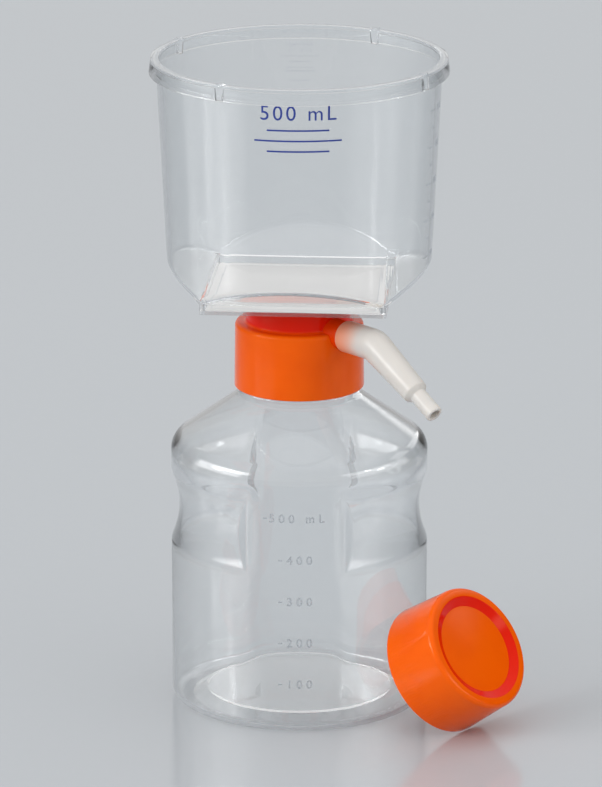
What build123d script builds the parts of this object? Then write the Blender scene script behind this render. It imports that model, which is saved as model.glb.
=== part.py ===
from build123d import *
import os
from math import cos, radians, sin, sqrt, tan

# Vacuum filtration unit: a square-based clear funnel with its membrane, screwed on a clear
# storage bottle, and the bottle's spare cap leaning against it.
# Millimetres. +Z is up, the bottle stands on Z = 0 and its axis is the Z axis.
# The clear band of the bottle that carries the graduations faces -Y.

# ---- Bottle ----
body_r = 46.4  # outside of the round body
bottle_wall = 1.3
heel_r = 6.4  # rounding from the foot ring to the body
foot_band = 2.0  # flat width of the ring that the bottle stands on
base_rise = 3.0  # height of the pushed-up bottom
base_slope = 31.0  # slope of the wall round the pushed-up bottom, degrees
shoulder_z = 93.5  # top of the upright body
shoulder_r = 7.0  # rounding from the body to the shoulder
shoulder_slope = 35.5  # fall of the shoulder, degrees

grip_z = 73.0  # middle of the finger grips
grip_depth = 2.9
grip_arc_r = 30.6  # radius of the groove's rounded section
grip_edge_angle = 22.4  # from the front or back of the bottle to a grip's end, degrees
grip_floor_angle = 28.2  # the same, to where the end wall meets the grip's floor
grip_overrun = 12.0  # how far the end walls are drawn past the floor and the edge

neck_r = 20.2  # outside of the neck, below its thread
neck_bore_r = 18.4
neck_height = 21.8  # from the shoulder up to the mouth
bead_r = 22.2  # bead below the closure
bead_height = 2.0
bead_gap = 1.0  # from the bead up to the closure's lower edge

# ---- Screw collar ----
filter_turn = -2.5  # where the filter stops on the thread, degrees about Z
collar_height = 23.9
collar_foot_r = 23.45
collar_top_r = 23.15
collar_bore_r = 21.9
collar_roof = 2.6  # thickness over the neck
collar_edge = 1.6  # rounding of the collar's upper edge
stem_r = 19.2  # narrower stem between the collar and the support plate
stem_wall = 2.2
stem_height = 10.3

seal_thickness = 1.0
seal_inner_r = 18.9
seal_gap = 0.4  # from the seal to the collar's bore

# ---- Vacuum port and hose connector ----
port_angle = -45.0  # from the filter's +X, along the diagonal of its square base, degrees
port_drop = 0.6  # from the top of the collar down to the port's axis
boss_r = 5.2
boss_end = 25.2  # from the bottle's axis
spigot_r = 3.6
spigot_end = 37.6
port_bore_r = 1.8

swivel_gap = 0.05  # radial clearance of the connector on its spigot
socket_gap = 0.2  # from the boss to the connector
socket_r = 5.7
elbow_reach = 40.9  # from the bottle's axis to the bend
bend = 30.0  # the arm's fall below level, degrees
arm_length = 25.4  # from the bend to the step
arm_step_r = 4.65  # arm's radius at the step
tip_length = 11.9
tip_r = 3.1
tip_bore_r = 2.0
tip_chamfer = 0.5

# ---- Funnel ----
seat_width = 66.4  # square base
seat_height = 2.4  # upright wall of the square base
funnel_wall = 1.3
floor_slope = 29.7  # slope of the four floor planes, degrees
wall_draft = 2.9  # widening of the round wall, degrees
wall_clearance = 0.1  # from the corners of the square base out to the round wall
rim_z = 238.35
rim_thickness = 1.4
skirt_height = 5.6
skirt_thickness = 1.2
skirt_ledge = 1.7  # from the wall out to the skirt, at the rim
skirt_flare = 0.7  # widening of the skirt down to its edge
lug_count = 4
lug_angle = 62.0  # first lug, from the filter's +X, degrees
lug_width = 3.0
lug_height = 0.5
lug_inset = 0.3  # from the lug to the rim's edges

# ---- Support plate and membrane ----
plate_thickness = 1.4
plate_floor = 0.8  # thickness left under the drain channels
drain_width = 57.6  # square area that filters
membrane_thickness = 0.15
membrane_gap = 0.05  # from the membrane to the funnel's inside wall
rib_pitch = 3.2
rib_width = 0.9
trough_width = 4.0  # cross channel between the two rows of ribs
outlet_r = 4.0
outlet_bore_r = 2.6
outlet_drop = 18.5  # from the plate down to the outlet's end
locating_ring_height = 3.0
locating_ring_thickness = 1.5
locating_ring_gap = 0.1

# ---- Spare cap ----
cap_height = 22.8
cap_foot_r = 24.2  # open end
cap_top_r = 23.0
cap_wall = 1.5
cap_edge = 1.2  # rounding of the upper edge
cap_rim_r = 19.4  # inside edge of the raised rim
cap_disc_r = 16.6  # flat disc inside it
cap_recess = 1.8
cap_roof = 1.6
plug_r = 18.2  # ring that seals inside the neck
plug_thickness = 1.1
plug_depth = 4.5
cap_tilt = 33.4  # rise of the cap's axis, degrees
cap_bearing = -32.6  # where it stands, about the bottle's axis from +X, degrees
cap_facing = -36.7  # where its axis points, degrees
cap_lean_gap = 0.15  # from its open rim to the bottle

# ---- Heights and radii that follow ----
shoulder_rise = (body_r - shoulder_r * (1 - sin(radians(shoulder_slope))) - neck_r) * tan(radians(shoulder_slope))
neck_foot_z = shoulder_z + shoulder_r * cos(radians(shoulder_slope)) + shoulder_rise
neck_top_z = neck_foot_z + neck_height
collar_foot_z = neck_top_z + seal_thickness - (collar_height - collar_roof)
collar_top_z = collar_foot_z + collar_height
bead_top_z = collar_foot_z - bead_gap
plate_foot_z = collar_top_z + stem_height
seat_z = plate_foot_z + plate_thickness
slope_z = seat_z + seat_height
seat_half = seat_width / 2
wall_foot_r = seat_half * sqrt(2) + wall_clearance
wall_spread = tan(radians(wall_draft))
wall_top_r = wall_foot_r + (rim_z - slope_z) * wall_spread
skirt_top_r = wall_top_r + skirt_ledge
skirt_foot_r = skirt_top_r + skirt_flare
port_z = collar_top_z - port_drop
port_bearing = port_angle + filter_turn
foot_r = body_r - heel_r

filter_plane = Plane.XY.rotated((0, 0, filter_turn))
port_along = Vector(cos(radians(port_bearing)), sin(radians(port_bearing)), 0)
port_start = Vector(0, 0, port_z)
elbow = port_start + port_along * elbow_reach
arm_along = port_along * cos(radians(bend)) - Vector(0, 0, sin(radians(bend)))


def turned_plane(start, along):
    """Plane of a turned section: local X is the radius, local Y runs along the axis."""
    radius = Vector(0, 0, 1).cross(along).normalized()
    return Plane(origin=start, x_dir=radius, z_dir=radius.cross(along))


def bottle_section(inset, neck, top):
    """Half section of the bottle, drawn inset from the outside of its body."""
    shift = inset * tan(radians(base_slope) / 2)
    foot_in = foot_r - foot_band + shift
    rise_r = foot_in - base_rise / tan(radians(base_slope))
    with BuildSketch(Plane.XZ) as section:
        with BuildLine():
            Polyline((0, base_rise + inset), (rise_r, base_rise + inset), (foot_in, inset), (foot_r, inset))
            heel = JernArc((foot_r, inset), (1, 0), heel_r - inset, 90)
            side = Line(heel @ 1, (body_r - inset, shoulder_z))
            round_over = JernArc(side @ 1, (0, 1), shoulder_r - inset, 90 - shoulder_slope)
            edge = round_over @ 1
            neck_z = edge.Y + (edge.X - neck) * tan(radians(shoulder_slope))
            Polyline(edge, (neck, neck_z), (neck, top), (0, top), (0, base_rise + inset))
        make_face()
    return section.sketch


def grip_form(outset):
    """The hollow of one finger grip, on the +X side, drawn outset from its surface."""
    groove_r = body_r - grip_depth + grip_arc_r
    floor_r = body_r - grip_depth
    edge_x = body_r * sin(radians(grip_edge_angle))
    edge_y = body_r * cos(radians(grip_edge_angle))
    floor_x = floor_r * sin(radians(grip_floor_angle))
    floor_y = floor_r * cos(radians(grip_floor_angle))
    lean = (floor_y - edge_y) / (floor_x - edge_x)
    end_x = edge_x - grip_overrun
    end_y = edge_y - grip_overrun * lean
    deep_x = floor_x + grip_overrun
    deep_y = floor_y + grip_overrun * lean
    far_x = body_r + grip_overrun
    with BuildPart() as form:
        with BuildSketch(Plane.XZ):
            with Locations((groove_r, grip_z)):
                Circle(grip_arc_r + outset)
        revolve(axis=Axis.Z)
        with BuildSketch(Plane.XY):
            with BuildLine():
                Polyline(
                    (end_x, end_y),
                    (deep_x, deep_y),
                    (deep_x, -deep_y),
                    (end_x, -end_y),
                    (far_x, -end_y),
                    (far_x, end_y),
                    close=True,
                )
            make_face()
            offset(amount=outset, kind=Kind.INTERSECTION)
        extrude(amount=neck_top_z, mode=Mode.INTERSECT)
    return form.part


def bowl_form(inset, floor_z, high_z):
    """Round bowl cut by four sloping planes down to a square, drawn inset from its outside."""
    low_half = seat_half - inset
    low_z = slope_z + inset * (1 - sin(radians(floor_slope))) / cos(radians(floor_slope))
    high_half = low_half + (high_z - low_z) / tan(radians(floor_slope))
    low_r = wall_foot_r - inset + (low_z - slope_z) * wall_spread
    with BuildPart() as form:
        with BuildSketch(Plane.XY.offset(low_z)):
            Circle(low_r)
        with BuildSketch(Plane.XY.offset(high_z)):
            Circle(low_r + (high_z - low_z) * wall_spread)
        loft()
        with BuildSketch(filter_plane.offset(low_z)):
            Rectangle(2 * low_half, 2 * low_half)
        with BuildSketch(filter_plane.offset(high_z)):
            Rectangle(2 * high_half, 2 * high_half)
        loft(mode=Mode.INTERSECT)
        with BuildSketch(filter_plane.offset(floor_z)):
            Rectangle(2 * low_half, 2 * low_half)
        extrude(amount=low_z - floor_z)
    return form.part


# ---- Storage bottle ----
with BuildPart() as bottle:
    add(bottle_section(0, neck_r, neck_top_z))
    revolve(axis=Axis.Z)
    with BuildSketch(Plane.XY.offset(bead_top_z - bead_height)):
        Circle(bead_r)
    extrude(amount=bead_height)
    grip = grip_form(0)
    add(grip, mode=Mode.SUBTRACT)
    add(mirror(grip, about=Plane.YZ, mode=Mode.PRIVATE), mode=Mode.SUBTRACT)

with BuildPart() as bottle_hollow:
    add(bottle_section(bottle_wall, neck_bore_r, neck_top_z))
    revolve(axis=Axis.Z)
    inner_grip = grip_form(bottle_wall)
    add(inner_grip, mode=Mode.SUBTRACT)
    add(mirror(inner_grip, about=Plane.YZ, mode=Mode.PRIVATE), mode=Mode.SUBTRACT)

with bottle:
    add(bottle_hollow.part, mode=Mode.SUBTRACT)

# ---- Seal between the neck and the collar ----
with BuildPart() as neck_seal:
    with BuildSketch(Plane.XY.offset(neck_top_z)):
        Circle(collar_bore_r - seal_gap)
        Circle(seal_inner_r, mode=Mode.SUBTRACT)
    extrude(amount=seal_thickness)

# ---- Screw collar with its stem and vacuum spigot ----
with BuildPart() as screw_collar:
    with BuildSketch(Plane.XZ):
        with BuildLine():
            Polyline(
                (0, collar_foot_z),
                (collar_foot_r, collar_foot_z),
                (collar_top_r, collar_top_z - collar_edge),
            )
            JernArc((collar_top_r, collar_top_z - collar_edge), (0, 1), collar_edge, 90)
            Polyline(
                (collar_top_r - collar_edge, collar_top_z),
                (stem_r, collar_top_z),
                (stem_r, plate_foot_z),
                (0, plate_foot_z),
                (0, collar_foot_z),
            )
        make_face()
    revolve(axis=Axis.Z)
    with BuildSketch(turned_plane(port_start, port_along)):
        with BuildLine():
            Polyline(
                (0, stem_r - stem_wall),
                (boss_r, stem_r - stem_wall),
                (boss_r, boss_end),
                (spigot_r, boss_end),
                (spigot_r, spigot_end),
                (0, spigot_end),
                close=True,
            )
        make_face()
    revolve(axis=Axis(port_start, port_along))
    with BuildSketch(Plane.XY.offset(collar_foot_z)):
        Circle(collar_bore_r)
    extrude(amount=collar_height - collar_roof, mode=Mode.SUBTRACT)
    with BuildSketch(Plane.XY.offset(collar_foot_z)):
        Circle(stem_r - stem_wall)
    extrude(amount=plate_foot_z - collar_foot_z, mode=Mode.SUBTRACT)
    with BuildSketch(turned_plane(port_start, port_along)):
        with BuildLine():
            Polyline((0, 0), (port_bore_r, 0), (port_bore_r, spigot_end), (0, spigot_end), close=True)
        make_face()
    revolve(axis=Axis(port_start, port_along), mode=Mode.SUBTRACT)

# ---- Hose connector: a socket on the spigot, a bend and a stepped arm ----
socket_start = boss_end + socket_gap
socket_depth = spigot_end + socket_gap
tip_y = arm_length + tip_length

with BuildPart() as hose_connector:
    with BuildSketch(turned_plane(port_start, port_along)):
        with BuildLine():
            Polyline(
                (0, socket_start), (socket_r, socket_start), (socket_r, elbow_reach), (0, elbow_reach), close=True
            )
        make_face()
    revolve(axis=Axis(port_start, port_along))
    with Locations(elbow):
        Sphere(socket_r)
    with BuildSketch(turned_plane(elbow, arm_along)):
        with BuildLine():
            Polyline(
                (0, 0),
                (socket_r, 0),
                (arm_step_r, arm_length),
                (tip_r, arm_length + arm_step_r - tip_r),
                (tip_r, tip_y - tip_chamfer),
                (tip_r - tip_chamfer, tip_y),
                (0, tip_y),
                close=True,
            )
        make_face()
    revolve(axis=Axis(elbow, arm_along))
    with BuildSketch(turned_plane(port_start, port_along)):
        with BuildLine():
            Polyline(
                (0, socket_start),
                (spigot_r + swivel_gap, socket_start),
                (spigot_r + swivel_gap, socket_depth),
                (tip_bore_r, socket_depth),
                (tip_bore_r, elbow_reach),
                (0, elbow_reach),
                close=True,
            )
        make_face()
    revolve(axis=Axis(port_start, port_along), mode=Mode.SUBTRACT)
    with Locations(elbow):
        Sphere(tip_bore_r, mode=Mode.SUBTRACT)
    with BuildSketch(turned_plane(elbow, arm_along)):
        with BuildLine():
            Polyline((0, 0), (tip_bore_r, 0), (tip_bore_r, tip_y), (0, tip_y), close=True)
        make_face()
    revolve(axis=Axis(elbow, arm_along), mode=Mode.SUBTRACT)

# ---- Support plate with its drain ribs and outlet ----
with BuildPart() as support_plate:
    with BuildSketch(filter_plane.offset(plate_foot_z)):
        Rectangle(seat_width, seat_width)
    extrude(amount=plate_thickness)
    with BuildSketch(filter_plane.offset(seat_z)):
        Rectangle(drain_width, drain_width)
    extrude(amount=plate_floor - plate_thickness, mode=Mode.SUBTRACT)
    rib_count = int(drain_width / rib_pitch)
    rib_length = (drain_width - trough_width) / 2
    with BuildSketch(filter_plane.offset(plate_foot_z + plate_floor)):
        with GridLocations(rib_pitch, drain_width - rib_length, rib_count, 2):
            Rectangle(rib_width, rib_length)
        Circle(outlet_r + trough_width, mode=Mode.SUBTRACT)
    extrude(amount=plate_thickness - plate_floor)
    with BuildSketch(Plane.XY.offset(plate_foot_z)):
        Circle(outlet_r)
    extrude(amount=-outlet_drop)
    with BuildSketch(Plane.XY.offset(plate_foot_z)):
        Circle(stem_r - stem_wall - locating_ring_gap)
        Circle(stem_r - stem_wall - locating_ring_gap - locating_ring_thickness, mode=Mode.SUBTRACT)
    extrude(amount=-locating_ring_height)
    with BuildSketch(Plane.XY.offset(plate_foot_z - outlet_drop)):
        Circle(outlet_bore_r)
    extrude(amount=outlet_drop + plate_thickness, mode=Mode.SUBTRACT)

# ---- Membrane, sealed on the plate all round its edge ----
with BuildPart() as membrane:
    with BuildSketch(filter_plane.offset(seat_z)):
        membrane_width = seat_width - 2 * (funnel_wall + membrane_gap)
        Rectangle(membrane_width, membrane_width)
    extrude(amount=membrane_thickness)

# ---- Funnel ----
with BuildPart() as funnel:
    add(bowl_form(0, seat_z, rim_z))
    with BuildSketch(Plane.XZ):
        with BuildLine():
            Polyline(
                (wall_top_r - funnel_wall, rim_z),
                (skirt_top_r, rim_z),
                (skirt_foot_r, rim_z - skirt_height),
                (skirt_foot_r - skirt_thickness, rim_z - skirt_height),
                (skirt_top_r - skirt_thickness, rim_z - rim_thickness),
                (wall_top_r - funnel_wall, rim_z - rim_thickness),
                close=True,
            )
        make_face()
    revolve(axis=Axis.Z)
    lug_in = wall_top_r - funnel_wall + lug_inset
    lug_out = skirt_top_r - lug_inset
    with BuildSketch(filter_plane.offset(rim_z - skirt_height)):
        with PolarLocations((lug_in + lug_out) / 2, lug_count, start_angle=lug_angle):
            Rectangle(lug_out - lug_in, lug_width)
    extrude(amount=skirt_height + lug_height)
    add(bowl_form(funnel_wall, seat_z, rim_z + lug_height), mode=Mode.SUBTRACT)

# ---- Spare cap, leaning on its open rim against the bottle ----
cap_rise = radians(cap_tilt)
cap_heading = radians(cap_facing)
cap_distance = body_r + cap_lean_gap + cap_foot_r * sin(cap_rise)
cap_start = Vector(
    cap_distance * cos(radians(cap_bearing)),
    cap_distance * sin(radians(cap_bearing)),
    cap_foot_r * cos(cap_rise),
)
cap_along = Vector(cos(cap_rise) * cos(cap_heading), cos(cap_rise) * sin(cap_heading), sin(cap_rise))
cap_roof_z = cap_height - cap_recess - cap_roof
cap_taper = (cap_foot_r - cap_top_r) / cap_height

with BuildPart() as storage_cap:
    with BuildSketch(turned_plane(cap_start, cap_along)):
        with BuildLine():
            Polyline((0, 0), (cap_foot_r, 0), (cap_top_r, cap_height - cap_edge))
            JernArc((cap_top_r, cap_height - cap_edge), (0, 1), cap_edge, 90)
            Polyline(
                (cap_top_r - cap_edge, cap_height),
                (cap_rim_r, cap_height),
                (cap_disc_r, cap_height - cap_recess),
                (0, cap_height - cap_recess),
                (0, 0),
            )
        make_face()
    revolve(axis=Axis(cap_start, cap_along))
    with BuildSketch(turned_plane(cap_start, cap_along)):
        with BuildLine():
            Polyline(
                (0, 0),
                (cap_foot_r - cap_wall, 0),
                (cap_foot_r - cap_wall - cap_taper * cap_roof_z, cap_roof_z),
                (plug_r, cap_roof_z),
                (plug_r, cap_roof_z - plug_depth),
                (plug_r - plug_thickness, cap_roof_z - plug_depth),
                (plug_r - plug_thickness, cap_roof_z),
                (0, cap_roof_z),
                close=True,
            )
        make_face()
    revolve(axis=Axis(cap_start, cap_along), mode=Mode.SUBTRACT)

# ---- Files ----
os.makedirs("parts", exist_ok=True)
pieces = {
    "bottle": bottle,
    "neck_seal": neck_seal,
    "screw_collar": screw_collar,
    "hose_connector": hose_connector,
    "support_plate": support_plate,
    "membrane": membrane,
    "funnel": funnel,
    "storage_cap": storage_cap,
}
for name, piece in pieces.items():
    piece.part.label = name
    export_step(piece.part, f"parts/{name}.step")
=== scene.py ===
"""Surfaces, markings and stage of the vacuum filtration unit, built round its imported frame.

Metres, +Z up. The bottle stands on Z = 0 with its axis on the Z axis, and its graduated band
faces -Y.
"""

from math import atan2, cos, pi, radians, sin, sqrt, tan

import bpy
import numpy as np
from bpy.props import FloatProperty, FloatVectorProperty, IntProperty, PointerProperty
from bpy.types import Operator, Panel, PropertyGroup
from mathutils import Matrix, Vector


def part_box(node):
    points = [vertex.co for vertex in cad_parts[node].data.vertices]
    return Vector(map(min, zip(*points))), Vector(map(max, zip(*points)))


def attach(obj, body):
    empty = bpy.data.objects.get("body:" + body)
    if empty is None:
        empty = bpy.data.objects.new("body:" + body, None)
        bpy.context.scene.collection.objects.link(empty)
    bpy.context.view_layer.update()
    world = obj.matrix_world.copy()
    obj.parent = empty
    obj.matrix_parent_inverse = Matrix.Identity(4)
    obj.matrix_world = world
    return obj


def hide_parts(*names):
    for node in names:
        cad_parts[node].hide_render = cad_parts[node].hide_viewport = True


bl_info = {
    "name": "Vacuum filtration unit",
    "version": (1, 0, 0),
    "blender": (4, 5, 0),
    "location": "View3D > Sidebar > Filter unit",
    "description": "Builds the surfaces of a vacuum filtration unit round its packed frame",
    "category": "Object",
}

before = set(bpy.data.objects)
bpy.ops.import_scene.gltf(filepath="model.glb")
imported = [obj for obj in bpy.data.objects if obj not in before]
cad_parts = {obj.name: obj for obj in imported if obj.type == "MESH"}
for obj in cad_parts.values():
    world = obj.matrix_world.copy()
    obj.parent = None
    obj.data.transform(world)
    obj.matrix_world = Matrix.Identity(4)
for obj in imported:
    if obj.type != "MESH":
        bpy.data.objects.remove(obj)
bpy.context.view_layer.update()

MM = 0.001
SKIN = 0.02 * MM  # keeps two faces that touch out of one plane
ON_WALL = 0.004 * MM  # keeps the foot of a mark off its wall

BOTTLE_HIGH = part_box("bottle")[1]
COLLAR_LOW, COLLAR_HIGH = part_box("screw_collar")
PLATE_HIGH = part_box("support_plate")[1]
MEMBRANE_LOW, MEMBRANE_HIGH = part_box("membrane")
FUNNEL_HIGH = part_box("funnel")[1]


# ---- Settings ----
def setting(kind, converted, **fixed):
    """A maker of settings of one kind, each with a name, a description and a default."""

    def made(name, description, default):
        return kind(name=name, description=description, default=converted(default), **fixed)

    return made


# Lengths are given in millimetres, and angles in degrees.
length = setting(FloatProperty, lambda mm: mm * MM, unit="LENGTH", subtype="DISTANCE", precision=5)
angle = setting(FloatProperty, radians, unit="ROTATION", subtype="ANGLE")
colour = setting(FloatVectorProperty, tuple, subtype="COLOR", size=3, min=0, max=1)
number = setting(FloatProperty, float)
whole_number = setting(IntProperty, int)


class BottleSettings(PropertyGroup):
    """Sizes of the storage bottle."""

    radius: length("Radius", "Outside of the round body", BOTTLE_HIGH.x / MM)
    wall: length("Wall", "Thickness of the wall", 1.3)
    heel: length("Heel", "Rounding from the foot ring to the body", 6.4)
    foot_band: length("Foot band", "Flat width of the ring that the bottle stands on", 2.0)
    base_rise: length("Base rise", "Height of the pushed-up bottom", 3.0)
    base_slope: angle("Base slope", "Slope of the wall round the pushed-up bottom", 31.0)
    side_top: length("Side top", "Top of the upright side", 93.5)
    shoulder: length("Shoulder", "Rounding from the side to the shoulder", 7.0)
    shoulder_fall: angle("Shoulder fall", "Fall of the shoulder below level", 35.5)
    grip_height: length("Grip height", "Middle of the finger grips above the bench", 73.0)
    grip_depth: length("Grip depth", "Deepest part of a finger grip", 2.9)
    grip_curve: length("Grip curve", "Radius of a grip's rounded section", 30.6)
    grip_edge: angle("Grip edge", "From the middle of the graduated band to a grip's edge", 22.4)
    grip_floor: angle("Grip floor", "From the middle of the graduated band to a grip's floor", 28.2)
    grip_softness: length("Grip softness", "Width over which a grip's outer edges are rounded", 0.6)
    grip_corner: length("Grip corner", "Width over which a grip's inner corners are rounded", 0.4)
    inner_softness: length("Inner softness", "Width of a grip's rounded outline on the inside", 3.2)
    inner_corner: length("Inner corner", "Width of a grip's rounded corners on the inside", 3.2)
    inner_shoulder: length("Inner shoulder", "Rounding of the shoulder on the inside", 9.0)
    neck_radius: length("Neck", "Outside of the neck between its threads", 20.2)
    neck_bore: length("Neck bore", "Inside of the neck", 18.4)
    bead_radius: length("Bead", "Outside of the bead below the closure", 22.2)
    bead_lean: length("Bead lean", "How far the bead's side draws in up to its top", 1.2)
    bead_gap: length("Bead gap", "From the bead up to the closure", 1.0)
    thread_pitch: length("Thread pitch", "Rise of the thread in one turn", 6.0)
    thread_depth: length("Thread depth", "How far the thread stands out of the neck", 1.2)
    thread_turns: number("Thread turns", "Turns of the neck's thread", 1.6)


class FunnelSettings(PropertyGroup):
    """Sizes of the funnel and of the filter under it."""

    turn: angle("Turn", "Where the filter stops on the thread, about the bottle's axis", -2.5)
    wall: length("Wall", "Thickness of the wall", 1.3)
    seat_width: length("Seat width", "Width of the square base", 66.4)
    seat_height: length("Seat height", "Upright wall of the square base", 2.4)
    seat_corner: length("Seat corner", "Rounding of the square base's corners", 1.0)
    floor_slope: angle("Floor slope", "Slope of the four floor planes", 29.7)
    draft: angle("Draft", "Widening of the round wall", 2.9)
    wall_clearance: length("Wall clearance", "From the square's corners to the round wall", 0.1)
    knee: length("Knee", "Rounding between the floor planes and the round wall", 3.6)
    rim_height: length("Rim height", "Top of the rim above the bench", FUNNEL_HIGH.z / MM - 0.5)
    rim_thickness: length("Rim thickness", "Thickness of the flat rim", 1.4)
    skirt_height: length("Skirt height", "Height of the skirt under the rim", 5.6)
    skirt_wall: length("Skirt wall", "Thickness of the skirt", 1.2)
    skirt_top: length("Skirt top", "Outside of the skirt at the rim", 52.95)
    skirt_foot: length("Skirt foot", "Outside of the skirt at its lower edge", 53.65)
    lugs: whole_number("Lugs", "Stacking lugs across the rim", 4)
    lug_angle: angle("Lug angle", "First lug, about the bottle's axis", 62.0)
    lug_width: length("Lug width", "Width of a lug", 3.0)
    lug_height: length("Lug height", "How far a lug stands above the rim", 0.5)
    lug_slope: length("Lug slope", "Width of a lug's sloping sides", 0.6)
    filter_width: length("Filter width", "Free width of the membrane in its bonded edge", 57.6)
    full_mark: length("Full mark", "Height of the 500 mL mark above the bench", 222.9)
    mark_spacing: length("Mark spacing", "Height of 100 mL in the funnel", 13.5)


class ClosureSettings(PropertyGroup):
    """Sizes of the screw collar and of its vacuum port."""

    foot_radius: length("Foot radius", "Outside of the collar at its lower edge", 23.45)
    top_radius: length("Top radius", "Outside of the collar at its upper edge", 23.15)
    height: length("Height", "Height of the collar without its stem", 23.9)
    bore: length("Bore", "Inside of the collar", 21.9)
    roof: length("Roof", "Thickness over the neck", 2.6)
    edge: length("Edge", "Rounding of the upper edge", 1.6)
    stem_radius: length("Stem", "Outside of the stem under the plate", 19.2)
    stem_wall: length("Stem wall", "Thickness of the stem's wall", 2.2)
    port_bearing: angle("Port bearing", "Where the port points, about the bottle's axis", -47.5)
    port_drop: length("Port drop", "From the collar's top down to the port's axis", 0.6)
    boss_radius: length("Boss", "Outside of the port's boss", 5.2)
    boss_end: length("Boss end", "From the bottle's axis to the boss's end", 25.2)
    spigot_radius: length("Spigot", "Outside of the port's spigot", 3.6)
    spigot_end: length("Spigot end", "From the bottle's axis to the spigot's end", 37.6)
    spigot_bore: length("Spigot bore", "Radius of the port's bore", 1.8)


class ConnectorSettings(PropertyGroup):
    """Sizes of the hose connector."""

    socket_gap: length("Socket gap", "From the port's boss to the connector", 0.2)
    fit: length("Fit", "Clearance of the socket on the spigot", 0.05)
    radius: length("Socket", "Outside of the socket and the bend", 5.7)
    reach: length("Reach", "From the bottle's axis to the bend", 40.9)
    bend: angle("Bend", "Fall of the arm below level", 30.0)
    bend_radius: length("Bend radius", "Radius of the bend's middle line", 6.4)
    arm: length("Arm", "From the bend to the step", 25.4)
    step_radius: length("Step", "Outside of the arm at its step", 4.65)
    tip: length("Tip", "Length of the tip past the step", 11.9)
    tip_radius: length("Tip radius", "Outside of the tip", 3.1)
    bore: length("Bore", "Radius of the bore", 2.0)


class CapSettings(PropertyGroup):
    """Sizes and place of the spare cap."""

    height: length("Height", "Height of the cap", 22.5)
    foot_radius: length("Foot radius", "Outside of the cap at its open end", 24.2)
    top_radius: length("Top radius", "Outside of the cap at its closed end", 23.0)
    wall: length("Wall", "Thickness of the side", 1.5)
    edge: length("Edge", "Rounding of the closed end's outer edge", 3.0)
    rim_radius: length("Rim", "Inside edge of the raised rim", 19.3)
    disc_radius: length("Disc", "Radius of the flat disc", 16.4)
    recess: length("Recess", "Depth of the disc below the rim", 1.8)
    crown: length("Crown", "Rise of the disc towards its middle", 0.4)
    roof: length("Roof", "Thickness of the disc", 1.6)
    plug_radius: length("Plug", "Outside of the ring that seals inside the neck", 18.2)
    plug_wall: length("Plug wall", "Thickness of that ring", 1.1)
    plug_depth: length("Plug depth", "Height of that ring", 4.5)
    tilt: angle("Tilt", "Rise of the cap's axis", 33.4)
    bearing: angle("Bearing", "Where the cap stands, about the bottle's axis", -32.6)
    facing: angle("Facing", "Where the cap's axis points", -36.7)
    lean_gap: length("Lean gap", "From the cap's open rim to the bottle", 0.15)


class FinishSettings(PropertyGroup):
    """Colours of the plastics and of the print."""

    clear: colour("Clear plastic", "Tint of the clear polystyrene", (0.965, 0.975, 0.98))
    orange: colour("Orange plastic", "Colour of the collar and the cap", (0.98, 0.122, 0.001))
    milky: colour("Milky plastic", "Colour of the hose connector", (0.72, 0.69, 0.65))
    membrane: colour("Membrane", "Colour of the membrane", (0.80, 0.79, 0.78))
    print_blue: colour("Print", "Colour of the printed marks", (0.010, 0.045, 0.36))


class StageSettings(PropertyGroup):
    """Camera, floor and backdrop."""

    pitch: angle("Pitch", "How far the camera looks down", 16.27)
    around: angle("Around", "Where the camera stands, from -Y towards +X", 1.8)
    distance: length("Distance", "From the camera to the point it looks at", 2190)
    look_height: length("Look height", "Height of the point that the camera looks at", 113.6)
    look_right: length("Look right", "How far right of the bottle's axis that point lies", 0.61)
    lens: number("Lens", "Focal length on a 36 mm sensor", 277.66)
    floor: colour("Floor", "Colour of the floor", (0.50, 0.53, 0.56))
    backdrop: colour("Backdrop", "Colour of the backdrop behind the floor", (0.61, 0.63, 0.65))


class FilterUnitSettings(PropertyGroup):
    """All the sizes and colours of the unit."""

    bottle: PointerProperty(type=BottleSettings)
    funnel: PointerProperty(type=FunnelSettings)
    closure: PointerProperty(type=ClosureSettings)
    connector: PointerProperty(type=ConnectorSettings)
    cap: PointerProperty(type=CapSettings)
    finish: PointerProperty(type=FinishSettings)
    stage: PointerProperty(type=StageSettings)


# ---- Outlines and turned meshes ----
def rounded(corners, steps):
    """Outline through corners, each turned by an arc of its own rounding.

    A corner is a radius, a height and a rounding, and the first two may be given for every
    direction. A corner with no rounding stays one point, and no arc takes more than half of a run
    beside it. The outline has a row for each point, and each row a radius and a height."""
    longest_share = 0.48
    radii, heights, roundings = zip(*corners)
    count = len(roundings)
    sizes = np.stack(np.broadcast_arrays(*map(np.atleast_1d, radii + heights)))
    points = sizes.reshape(2, count, -1).transpose(2, 1, 0)
    rows = []
    for i, rounding in enumerate(roundings):
        here = points[:, i]
        if rounding == 0:
            rows.append(here)
            continue
        back = points[:, i - 1] - here
        ahead = points[:, (i + 1) % count] - here
        back_run = np.linalg.norm(back, axis=1)
        ahead_run = np.linalg.norm(ahead, axis=1)
        between = np.sum(back * ahead, axis=1) / (back_run * ahead_run)
        half_turn = (pi - np.arccos(np.clip(between, -1, 1))) / 2
        longest = longest_share * np.minimum(back_run, ahead_run)
        reach = np.minimum(rounding * np.tan(half_turn), longest)
        start = here + back * (reach / back_run)[:, None]
        end = here + ahead * (reach / ahead_run)[:, None]
        weight = np.cos(half_turn)[:, None]
        for step in range(steps + 1):
            s = step / steps
            before, share, after = (1 - s) ** 2, 2 * weight * s * (1 - s), s**2
            rows.append((before * start + share * here + after * end) / (before + share + after))
    return np.stack(rows, axis=1)


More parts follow.
